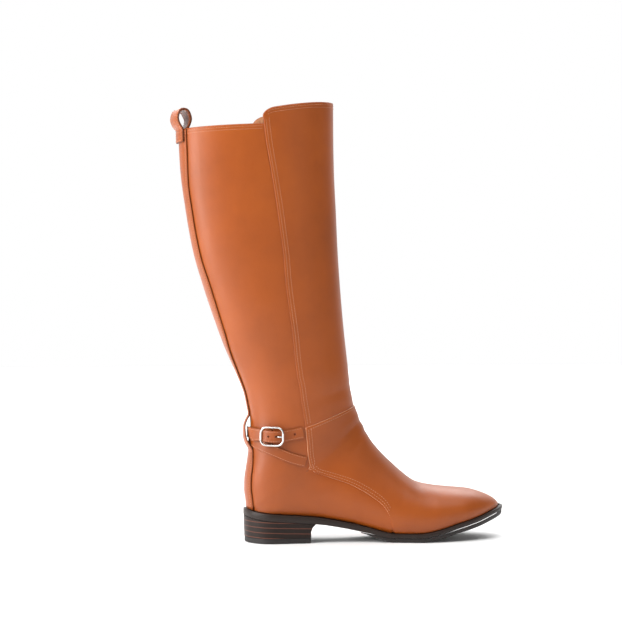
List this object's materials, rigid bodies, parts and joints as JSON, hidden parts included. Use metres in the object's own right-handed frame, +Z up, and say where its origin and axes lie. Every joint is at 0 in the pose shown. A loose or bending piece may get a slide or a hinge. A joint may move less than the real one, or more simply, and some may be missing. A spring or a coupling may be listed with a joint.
{
  "type": "knee-high boot",
  "caption": "Knee-high riding boot for the right foot: hollow leather upper with an ankle strap and buckle, stacked heel and leather sole.",
  "frame": {"origin": "on the floor, under the middle of the heel: where the top lift rests", "axes": "+X to the toe, +Y to the inner side of the foot, +Z up the shaft"},
  "size_m": [0.3459, 0.0905, 0.445],
  "materials": {
    "tan_leather": "smooth tan leather, soft sheen",
    "insole_leather": "plain natural leather",
    "dark_sole": "dark brown, waxed edge",
    "heel_stack": "dark brown stacked leather",
    "lift_rubber": "black-brown rubber",
    "polished_steel": "polished silver-coloured metal"
  },
  "bodies": {
    "root": {"upper": "tan_leather", "insole": "insole_leather", "midsole": "dark_sole", "outsole": "dark_sole", "heel": "heel_stack", "top_lift": "lift_rubber", "backstay": "tan_leather", "pull_loop": "tan_leather", "ankle_strap": "tan_leather", "buckle_strap": "tan_leather", "chape_strap": "tan_leather", "buckle_frame": "polished_steel", "buckle_prong": "polished_steel"}
  },
  "joints": []
}
